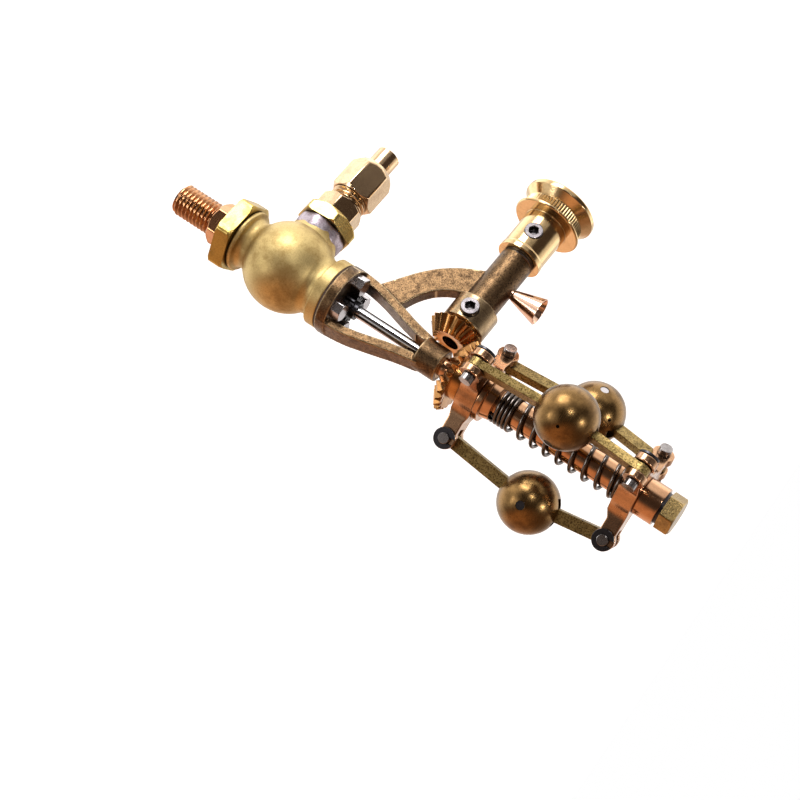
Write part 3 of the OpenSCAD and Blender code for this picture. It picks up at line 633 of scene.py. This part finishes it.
# The spring: a few tight coils below, open ones above, and one closed coil at the top
WIRE, COIL = 0.31, 2.94
TIGHT, OPEN = 4, 8
COILS = TIGHT + OPEN + 1
tight = WIRE * 2 * 1.12
free = HEAD_Z - SPRING_Z - tight * (TIGHT + 1) - 2 * WIRE
turn = np.linspace(0, COILS, COILS * 30 + 1)
heights = [0, TIGHT * tight, TIGHT * tight + free, TIGHT * tight + free + tight]
rise = np.interp(turn, [0, TIGHT, TIGHT + OPEN, COILS], heights)[:, None]
turn = 2 * math.pi * turn[:, None]
round_wire = np.linspace(0, 2 * math.pi, 12, endpoint=False)
out = COIL + WIRE * np.cos(round_wire)
height = SPRING_Z + WIRE + rise + WIRE * np.sin(round_wire)
coil = np.stack([out * np.cos(turn), out * np.sin(turn), height], -1)
me = Shape().grid(coil).mesh("spring_wire")
smooth(me, 60)
me.materials.append(STEEL_SPRING)
wire = temporary(me)
wire.name = "spring_wire"
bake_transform(wire)
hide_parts("spring")

for end in ("lower", "upper"):
    flowed(f"{end}_spider_arms", f"{end}_spider", COPPER_SPIDER, 0.09, 3)
    rounded(f"{end}_cross_pins", f"{end}_pins", STEEL_PIN, 0.07)
    rounded(f"{end}_spring_clips", f"{end}_clips", STEEL_DARK, 0.06)
for i in (1, 2, 3):
    rounded(f"lower_strap_{i}", f"lower_link_{i}", BRASS_LINK, 0.07)
    rounded(f"upper_strap_{i}", f"upper_link_{i}", BRASS_LINK, 0.07)
    rounded(f"governor_ball_{i}", f"flyball_{i}", BALLS[i], 0.06)
    rounded(f"ball_axle_{i}", f"ball_pin_{i}", STEEL_BOLT if i == 3 else STEEL_DARK, 0.07)

# The rest keep their CAD shape: they are inside, or hardly seen
INNER = {"valve_seat": BRASS_POLISHED, "outlet_ferrule": BRASS_POLISHED, "flange_gasket": GASKET,
         "gland_packing": PACKING, "spindle_bush": BRONZE_CAST, "thrust_washer": STEEL_BOLT,
         "spindle_clip": STEEL_DARK, "lock_washer": STEEL_DARK, "valve_plug": BRASS_POLISHED,
         "rod_collar": STEEL_BOLT}
for node, finish in INNER.items():
    data = frame["nodes"][node].data
    data.materials.clear()
    data.materials.append(finish)

# ---- Camera ----

AIM_Z = 50.3
DISTANCE = 263.5
azimuth, elevation, roll = (math.radians(a) for a in (24.334, 15.157, -237.217))
level = Vector((math.cos(azimuth), math.sin(azimuth), 0))
back = Vector((math.sin(azimuth) * math.cos(elevation), -math.cos(azimuth) * math.cos(elevation),
               math.sin(elevation)))
above = back.cross(level)
right = level * math.cos(roll) + above * math.sin(roll)
up = above * math.cos(roll) - level * math.sin(roll)
data = bpy.data.cameras.new("camera")
data.sensor_width = 36
data.lens = 75.7
data.shift_x = -0.0376
data.shift_y = -0.052
data.clip_start = 0.01
data.clip_end = 10
camera = bpy.data.objects.new("camera", data)
bpy.context.scene.collection.objects.link(camera)
stand = Matrix.Translation(Vector((0, 0, AIM_Z * MM)) + back * DISTANCE * MM)
camera.matrix_world = stand @ Matrix((right, up, back)).transposed().to_4x4()
bpy.context.scene.camera = camera
bpy.context.scene.view_settings.view_transform = "Standard"

# ---- Studio ----

world = bpy.data.worlds.new("studio")
world.use_nodes = True
bpy.context.scene.world = world
g = Graph(world.node_tree)
ray = g.vec("NORMALIZE", g.add("ShaderNodeTexCoord").outputs["Generated"])
u, v, w = (g.vec("DOT_PRODUCT", ray, tuple(axis), out=1) for axis in (right, up, back))


def light(amount, colour):
    """One soft light of the room, by how much it shines and its colour."""
    return g.scaled(g.add("ShaderNodeCombineXYZ", {0: amount, 1: amount, 2: amount}).outputs[0], colour)


WHITE = (1.0, 0.99, 0.97)
CREAM = (1.0, 0.98, 0.95)
behind = g.math("MULTIPLY", g.span(w, 0.0, -0.4), g.span(v, -0.8, -0.2, 0.22, 1.0))
overhead = g.math("MULTIPLY", g.span(v, 0.48, 0.6), g.span(w, 0.7, 0.45, 0.0, 1.2))
left_side = g.math("MULTIPLY", g.span(u, -0.55, -0.7), g.span(v, -0.35, 0.0, 0, 1.0))
right_side = g.math("MULTIPLY", g.span(u, 0.7, 0.8), g.span(w, 0.22, 0.02, 0, 0.9))
warm_below = g.math("MULTIPLY", g.span(v, -0.2, -0.65), g.span(u, 0.5, -0.4, 0.15, 0.8))
parts = [light(behind, (1.0, 0.99, 0.98)), light(overhead, WHITE), light(left_side, CREAM),
         light(right_side, CREAM), light(warm_below, (1.0, 0.5, 0.25))]
total = (0.07, 0.052, 0.042)
for part in parts:
    total = g.vec("ADD", part, total)
seen = g.add("ShaderNodeLightPath").outputs["Is Camera Ray"]
shade = g.mix(seen, total, (1, 1, 1, 1))
g.add("ShaderNodeOutputWorld", {0: g.add("ShaderNodeBackground", {0: shade, 1: 1.0}).outputs[0]})


def softbox(name, direction, distance, size, power):
    """A square area light; direction is given along the picture's right, up and towards the camera."""
    lamp = bpy.data.lights.new(name, "AREA")
    lamp.size, lamp.energy = size * MM, power
    obj = bpy.data.objects.new(name, lamp)
    bpy.context.scene.collection.objects.link(obj)
    way = (right * direction[0] + up * direction[1] + back * direction[2]).normalized()
    obj.location = Vector((0, 0, 0.055)) + way * distance * MM
    obj.rotation_euler = way.to_track_quat("Z", "Y").to_euler()


softbox("key", (-0.15, 0.9, 0.4), 300, 150, 0.75)
softbox("front_high", (0.2, 0.35, 0.92), 330, 30, 0.13)
softbox("front_right", (0.72, -0.25, 0.62), 300, 36, 0.17)
softbox("front_left", (-0.8, 0.1, 0.5), 320, 90, 0.18)

FLOOR_Z = -120.0
tiles = np.linspace(-4000, 4000, 9)
floor = Shape().grid(np.array([[(x, y, FLOOR_Z) for x in tiles] for y in tiles]), wrap=False).mesh("floor")
pale = bpy.data.materials.new("pale_floor")
pale.use_nodes = True
g = Graph(pale.node_tree)
fleck = g.noise(g.add("ShaderNodeTexCoord").outputs["Object"], 40, 4)
tone = g.mix(g.span(fleck, 0.3, 0.7), (0.93, 0.94, 0.95, 1), (0.95, 0.96, 0.97, 1))
ground = g.add("ShaderNodeBsdfPrincipled", {"Base Color": tone, "Roughness": 0.9, "Emission Color": tone,
                                            "Emission Strength": 0.75})
g.add("ShaderNodeOutputMaterial", {0: ground.outputs[0]})
floor.materials.append(pale)
floor = temporary(floor)
floor.name = "floor"
floor.visible_glossy = False
